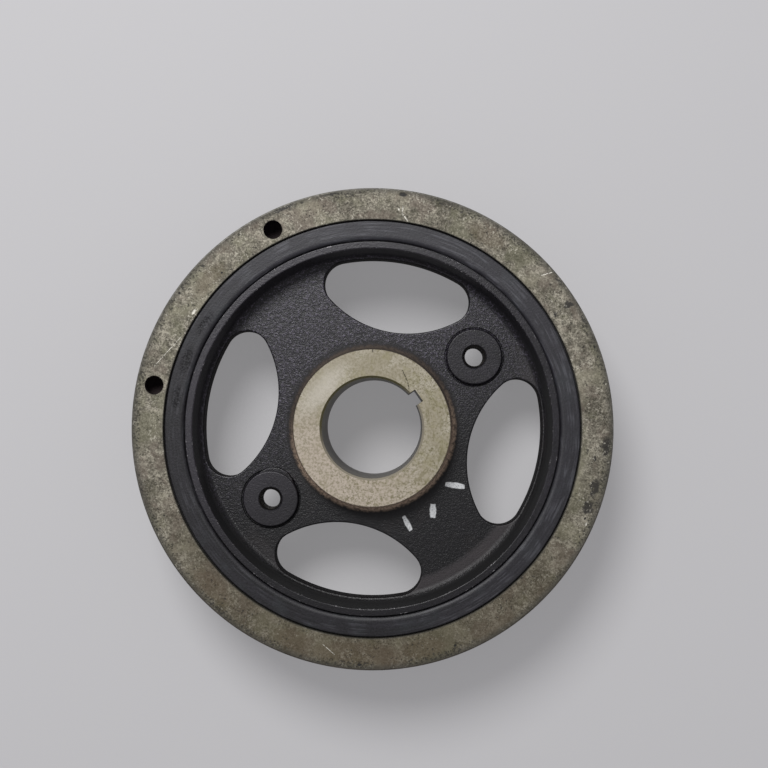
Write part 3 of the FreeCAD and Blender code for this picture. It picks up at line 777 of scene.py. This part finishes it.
def window_cutter():
    """The windows' hollow: a plan of four tangent arcs, with its mouths rounded outwards."""
    centre = WINDOW_BOSS_RADIUS + WINDOW_BULGE
    tip_reach = WINDOW_RIM_RADIUS - WINDOW_TIP
    tip_x = (tip_reach ** 2 - (WINDOW_BULGE - WINDOW_TIP) ** 2 + centre ** 2) / (2 * centre)
    tip_y = math.sqrt(tip_reach ** 2 - tip_x ** 2)
    rim_turn = math.degrees(math.atan2(tip_y, tip_x))
    boss_turn = math.degrees(math.atan2(tip_y, tip_x - centre))
    half_web = (WEB_FRONT - WEB_REAR) / 2
    margin = HUB_FRONT - WEB_FRONT + 2
    bottom = -half_web - margin
    reach = WINDOW_RIM_RADIUS + WINDOW_ROUND
    start = (reach * math.cos(math.radians(rim_turn)), -reach * math.sin(math.radians(rim_turn)), bottom)
    plan = Outline("window_cutter", start)
    plan.arc((0, 0, bottom), 2 * rim_turn, 40)
    plan.arc((tip_x, tip_y, bottom), boss_turn - rim_turn, 20)
    plan.arc((centre, 0, bottom), 2 * (180 - boss_turn), 40)
    plan.arc((tip_x, -tip_y, bottom), boss_turn - rim_turn, 20)
    bpy.ops.mesh.select_all(action="SELECT")
    bpy.ops.mesh.remove_doubles(threshold=1e-3)
    bpy.ops.mesh.edge_face_add()
    raise_face(margin)
    round_steps = 4
    for step in range(round_steps):
        low, high = (math.radians(90 * s / round_steps) for s in (step, step + 1))
        bpy.ops.mesh.select_mode(type="FACE")
        bpy.ops.mesh.inset(thickness=WINDOW_ROUND * (math.sin(high) - math.sin(low)), depth=0)
        bpy.ops.transform.translate(value=(0, 0, WINDOW_ROUND * (math.cos(low) - math.cos(high))))
    raise_face(half_web - WINDOW_ROUND)
    bpy.ops.mesh.delete(type="ONLY_FACE")
    leave_edit()
    apply_modifier(plan.piece, "MIRROR", use_axis=(False, False, True))
    edit(plan.piece)
    tidy_shell()
    leave_edit()
    move(plan.piece, height=(WEB_FRONT + WEB_REAR) / 2)
    return plan.piece


def raise_face(height):
    """In edit mode, extrude the selected face straight up."""
    bpy.ops.mesh.select_mode(type="FACE")
    bpy.ops.mesh.extrude_region_move(TRANSFORM_OT_translate={"value": (0, 0, height)})


def puller_pad(across, up, radius, height):
    """A low round boss with draft and a softened edge, sunk into the web."""
    foot_radius = radius + 2 * height * math.tan(math.radians(PAD_DRAFT))
    foot, top = WEB_FRONT - height, WEB_FRONT + height
    pad = turned("pad", ((0, foot, 0, 0), (foot_radius, foot, 0, 0), (radius, top, PAD_ROUND, 3),
                         (0, top, 0, 0)), STEPS_PAD)
    move(pad, across=across, up=up)
    return pad


def puller_hole():
    """The hollow of a tapped hole, as wide as its thread, with a countersunk mouth."""
    wide, mouth = THREAD_RADIUS + THREAD_ROOM, MOUTH_RADIUS + THREAD_ROOM
    rear, front = WEB_REAR - CUT_OVERRUN, WEB_FRONT + PAD_HEIGHT
    return turned("puller_hole", ((0, rear, 0, 0), (wide, rear, 0, 0), (wide, front - (mouth - wide), 0, 0),
                                  (mouth, front, 0, 0), (mouth, front + CUT_OVERRUN, 0, 0),
                                  (0, front + CUT_OVERRUN, 0, 0)), STEPS_HOLE)


def pad_moat(across, up):
    """The steep-sided groove round a pad's foot."""
    inner = PAD_RADIUS + PAD_HEIGHT * math.tan(math.radians(PAD_DRAFT)) - 0.1
    floor, mouth = WEB_FRONT - MOAT_DEPTH, WEB_FRONT + CUT_OVERRUN
    moat = turned("pad_moat", ((inner, floor, 0, 0), (inner + MOAT_WIDTH * 0.8, floor, 0.2, 3),
                               (inner + MOAT_WIDTH, WEB_FRONT, 0, 0), (inner + MOAT_WIDTH, mouth, 0, 0),
                               (inner, mouth, 0, 0)), STEPS_PAD)
    move(moat, across=across, up=up)
    return moat


def key_cutter():
    bpy.ops.object.select_all(action="DESELECT")
    bpy.ops.mesh.primitive_cube_add(size=1)
    key = bpy.context.object
    reach = BORE_RADIUS + KEY_DEPTH
    key.scale = (reach, KEY_WIDTH, HUB_FRONT + 4)
    move(key, across=reach / 2, height=HUB_FRONT / 2, turn=KEY_ANGLE)
    return key


def make_hub(cast_skin, smooth_skin, front_face, bore_skin, rear_face, window_skin):
    front_foot = FRONT_BOSS_RADIUS + draft_over(HUB_FRONT - WEB_FRONT)
    rear_foot = REAR_BOSS_RADIUS + draft_over(WEB_REAR - JOURNAL_TOP)
    hub = turned("hub_casting", (
        (BORE_RADIUS, HUB_REAR, BORE_ROUND, 2),
        (JOURNAL_RADIUS, HUB_REAR, JOURNAL_LEAD, 1),
        (JOURNAL_RADIUS, JOURNAL_TOP, JOURNAL_FOOT, 3),
        (REAR_BOSS_RADIUS, JOURNAL_TOP, REAR_BOSS_ROUND, 3),
        (rear_foot, WEB_REAR, BOSS_FILLET, 6),
        (RIM_INSIDE - draft_over(WEB_REAR - RIM_REAR), WEB_REAR, RIM_REAR_FILLET, 4),
        (RIM_INSIDE, RIM_REAR, RIM_INNER_ROUND, 3),
        (RIM_OUTSIDE, RIM_REAR, RIM_OUTER_ROUND, 2),
        (RIM_OUTSIDE, RIM_FRONT, RIM_OUTER_ROUND, 2),
        (RIM_INSIDE, RIM_FRONT, RIM_INNER_ROUND, 3),
        (RIM_INSIDE - draft_over(RIM_FRONT - WEB_FRONT), WEB_FRONT, RIM_FILLET, 6),
        (front_foot, WEB_FRONT, BOSS_FILLET, 6),
        (FRONT_BOSS_RADIUS, HUB_FRONT, FRONT_BOSS_ROUND, 2),
        (BORE_RADIUS, HUB_FRONT, BORE_CHAMFER, 1),
    ))
    moats = [pad_moat(*place) for place in PULLER_PLACES]
    combine(hub, moats, "DIFFERENCE")
    lower_pad = Vector(PULLER_PLACES[1])
    towards = (VIEW_UP * 0.97 + VIEW_RIGHT * 0.25).xy.normalized()
    crescent = puller_pad(*(lower_pad + CRESCENT_SHIFT * towards), CRESCENT_RADIUS, CRESCENT_HEIGHT)
    combine(hub, [crescent], "UNION")
    for place in PULLER_PLACES:
        combine(hub, [puller_pad(*place, PAD_RADIUS, PAD_HEIGHT)], "UNION")
    window = window_cutter()
    cutters = [window] + [copied(window, 360 / WINDOW_COUNT * count) for count in range(1, WINDOW_COUNT)]
    for across, up in PULLER_PLACES:
        hole = puller_hole()
        move(hole, across=across, up=up)
        cutters.append(hole)
    combine(hub, cutters, "DIFFERENCE")
    combine(hub, [key_cutter()], "DIFFERENCE")

    def on_bore(face):
        within_key = from_axis(face.calc_center_median()) < BORE_RADIUS + KEY_DEPTH + NEAR
        return within_key and abs(face.normal.z) < 0.9

    def machined(face):
        middle = face.calc_center_median()
        return middle.z > HUB_FRONT - 0.35 and from_axis(middle) < FRONT_BOSS_RADIUS

    def ground(face):
        middle = face.calc_center_median()
        return from_axis(middle) < REAR_BOSS_RADIUS and middle.z < JOURNAL_TOP + 0.6

    def smooth(face):
        middle = face.calc_center_median()
        on_pad = any(math.dist(middle.xy, place) < PAD_RADIUS + 0.3 for place in PULLER_PLACES)
        pad_top = on_pad and middle.z > WEB_FRONT + 0.6
        rim_end = from_axis(middle) > RIM_INSIDE - NEAR and not RIM_REAR + 0.5 < middle.z < RIM_FRONT - 0.5
        return pad_top or rim_end

    def in_window(face):
        middle = face.calc_center_median()
        between_bosses = WINDOW_BOSS_RADIUS - 1 < from_axis(middle) < WINDOW_RIM_RADIUS + 0.2
        on_pad = any(math.dist(middle.xy, place) < PAD_RADIUS + 1 for place in PULLER_PLACES)
        return (between_bosses and not on_pad and abs(face.normal.z) < 0.75
                and WEB_REAR < middle.z < WEB_FRONT)

    paint_faces(hub, ((cast_skin, None), (smooth_skin, smooth), (front_face, machined), (rear_face, ground),
                      (bore_skin, on_bore), (window_skin, in_window)))
    finish_piece(hub, "hub")


def puller_thread(name, place, finish):
    """A tapped thread as a thin sleeve: one turn's ridge, wound up through the web."""
    crest, root = PULLER_RADIUS, THREAD_RADIUS
    land, flank = THREAD_PITCH / 8, THREAD_PITCH * 3 / 8
    start = WEB_REAR - THREAD_PITCH
    ridge = Outline(name, (crest, 0, start))
    ridge.line((crest, 0, start + land), (root, 0, start + land + flank),
               (root, 0, start + THREAD_PITCH - flank), (crest, 0, start + THREAD_PITCH))
    leave_edit()
    thread = ridge.piece
    front = WEB_FRONT + PAD_HEIGHT
    turns = math.ceil((front - start) / THREAD_PITCH) + 1
    apply_modifier(thread, "SCREW", screw_offset=THREAD_PITCH, iterations=turns, steps=STEPS_HOLE,
                   use_merge_vertices=True, merge_threshold=1e-4)
    edit(thread)
    wall = 3 * THREAD_ROOM
    for height, away in ((WEB_REAR + wall, -1), (front, 1)):
        bpy.ops.mesh.select_all(action="SELECT")
        bpy.ops.mesh.bisect(plane_co=(0, 0, height), plane_no=(0, 0, away), clear_outer=True)
    tidy_shell()
    leave_edit()
    apply_modifier(thread, "SOLIDIFY", thickness=wall, offset=1)
    above = front + CUT_OVERRUN
    mouth = turned("mouth", ((0, front - MOUTH_RADIUS, 0, 0), (MOUTH_RADIUS + CUT_OVERRUN, above, 0, 0),
                             (0, above, 0, 0)), STEPS_HOLE)
    combine(thread, [mouth], "DIFFERENCE", folded=True)
    move(thread, across=place[0], up=place[1])
    paint_faces(thread, ((finish, None),))
    finish_piece(thread, None)


# rubber band

def make_rubber(finish):
    inner, outer = RIM_OUTSIDE + RUBBER_GAP, RING_INSIDE - RUBBER_GAP
    rear_bond, front_bond = RUBBER_REAR + RUBBER_GAP_DEPTH, RUBBER_FRONT - RUBBER_GAP_DEPTH
    band = turned("damper_rubber_band", (
        (RIM_OUTSIDE, rear_bond, 0, 0),
        (inner, rear_bond, 0, 0),
        (inner, RUBBER_REAR, RUBBER_INNER_ROUND, 6),
        (outer, RUBBER_REAR, RUBBER_OUTER_ROUND, 4),
        (outer, rear_bond, 0, 0),
        (RING_INSIDE, rear_bond, 0, 0),
        (RING_INSIDE, front_bond, 0, 0),
        (outer, front_bond, 0, 0),
        (outer, RUBBER_FRONT, RUBBER_OUTER_ROUND, 4),
        (inner, RUBBER_FRONT, RUBBER_INNER_ROUND, 6),
        (inner, front_bond, 0, 0),
        (RIM_OUTSIDE, front_bond, 0, 0),
    ))
    paint_faces(band, ((finish, None),))
    finish_piece(band, "damper_rubber")


# inertia ring

def balance_cutter(angle):
    """The hollow of a blind balance hole, down to the cone that the drill's tip leaves."""
    floor = RING_FRONT - BALANCE_DEPTH
    tip = floor - BALANCE_RADIUS / math.tan(math.radians(DRILL_TIP / 2))
    mouth = RING_FRONT + CUT_OVERRUN
    hole = turned("balance_hole", ((0, tip, 0, 0), (BALANCE_RADIUS, floor, 0, 0),
                                   (BALANCE_RADIUS, mouth, 0, 0), (0, mouth, 0, 0)), STEPS_HOLE)
    move(hole, across=BALANCE_CIRCLE, turn=angle)
    return hole


def make_ring(face_finish, edge_finish, track_finish, hole_finish):
    floor = RING_OUTSIDE - GROOVE_DEPTH
    half_floor = GROOVE_FLOOR / 2
    half_mouth = half_floor + GROOVE_DEPTH * math.tan(math.radians(GROOVE_ANGLE / 2))
    middle = (RING_REAR + RING_FRONT) / 2
    corners = [(RING_INSIDE, RING_REAR, RING_INNER_ROUND, 2),
               (RING_OUTSIDE, RING_REAR, RING_OUTER_ROUND, 2)]
    for count in range(GROOVE_COUNT):
        height = middle + (count - (GROOVE_COUNT - 1) / 2) * GROOVE_PITCH
        corners += [(RING_OUTSIDE, height - half_mouth, GROOVE_CROWN_ROUND, 3),
                    (floor, height - half_floor, GROOVE_FLOOR_ROUND, 2),
                    (floor, height + half_floor, GROOVE_FLOOR_ROUND, 2),
                    (RING_OUTSIDE, height + half_mouth, GROOVE_CROWN_ROUND, 3)]
    corners += [(RING_OUTSIDE, RING_FRONT, RING_OUTER_ROUND, 2),
                (RING_INSIDE, RING_FRONT, RING_INNER_ROUND, 2)]
    ring = turned("inertia_ring_iron", corners)
    combine(ring, [balance_cutter(angle) for angle in BALANCE_ANGLES], "DIFFERENCE")

    def on_edge(face):
        place = face.calc_center_median()
        at_end = place.z > RING_FRONT - RING_OUTER_ROUND or place.z < RING_REAR + RING_OUTER_ROUND
        outermost = from_axis(place) > RING_OUTSIDE - RING_OUTER_ROUND
        return outermost and at_end and 0.1 < abs(face.normal.z) < 0.95

    def on_track(face):
        place = face.calc_center_median()
        return (from_axis(place) > floor - NEAR and RING_REAR + 0.5 < place.z < RING_FRONT - 0.5
                and face.normal.dot(Vector((place.x, place.y, 0)).normalized()) > 0.2)

    def in_hole(face):
        place = face.calc_center_median()
        turns = [Matrix.Rotation(math.radians(angle), 2) for angle in BALANCE_ANGLES]
        centres = [turn @ Vector((BALANCE_CIRCLE, 0)) for turn in turns]
        inside = any((place.xy - centre).length < BALANCE_RADIUS + 0.05 for centre in centres)
        return inside and RING_FRONT - 20 < place.z < RING_FRONT - 0.01

    paint_faces(ring, ((face_finish, None), (edge_finish, on_edge), (track_finish, on_track),
                       (hole_finish, in_hole)))
    finish_piece(ring, "inertia_ring")


make_hub(cast_paint(), smooth_paint(), boss_face(), bore_wall(), journal(), window_paint())
thread_finish = thread_steel()
for number, place in enumerate(PULLER_PLACES, 1):
    puller_thread(f"puller_thread_{number}", place, thread_finish)
make_rubber(rubber())
make_ring(ring_face(), ring_edge(), belt_track(), hole_wall())


# floor, lights and camera

bpy.ops.object.select_all(action="DESELECT")
bpy.ops.mesh.primitive_plane_add(size=FLOOR_SIZE, location=(0, 0, 0))
floor = bpy.context.object
floor.name = "floor"
floor.data.materials.append(floor_finish())

world = bpy.data.worlds.new("studio")
bpy.context.scene.world = world
world.use_nodes = True
world.node_tree.nodes["Background"].inputs["Color"].default_value = SKY_COLOUR
world.node_tree.nodes["Background"].inputs["Strength"].default_value = SKY_STRENGTH


def look(thing, eye, aim, up):
    """Stand a camera or lamp at eye, facing aim, with up towards the picture's top."""
    back = (eye - aim).normalized()
    right = up.cross(back).normalized()
    turn_to = Matrix((right, back.cross(right), back)).transposed()
    thing.matrix_world = Matrix.Translation(eye) @ turn_to.to_4x4()


def add_lamp(name, eye, size, power):
    lamp = bpy.data.lights.new(name, "AREA")
    lamp.shape = "DISK"
    lamp.size = size
    lamp.energy = power
    stand = bpy.data.objects.new(name, lamp)
    bpy.context.collection.objects.link(stand)
    look(stand, eye, Vector((0, 0, HUB_FRONT * MM)), VIEW_UP)


add_lamp("key_lamp", LAMP_PLACE, LAMP_SIZE, LAMP_POWER)

camera_data = bpy.data.cameras.new("camera")
camera = bpy.data.objects.new("camera", camera_data)
bpy.context.collection.objects.link(camera)
camera_data.sensor_width = SENSOR_WIDTH
camera_data.lens = EYE_DISTANCE / MM_PER_PIXEL / PHOTO_WIDTH * SENSOR_WIDTH
camera_data.clip_start, camera_data.clip_end = 0.01, 20
front = Vector((0, 0, HUB_FRONT))
eye = (front + VIEW_RIGHT * EYE_RIGHT + VIEW_UP * EYE_UP + Vector((0, 0, EYE_DISTANCE))) * MM
aim = (front + VIEW_RIGHT * AIM_RIGHT + VIEW_UP * AIM_UP) * MM
look(camera, eye, aim, VIEW_UP)
bpy.context.scene.camera = camera
bpy.context.scene.view_settings.view_transform = "Standard"
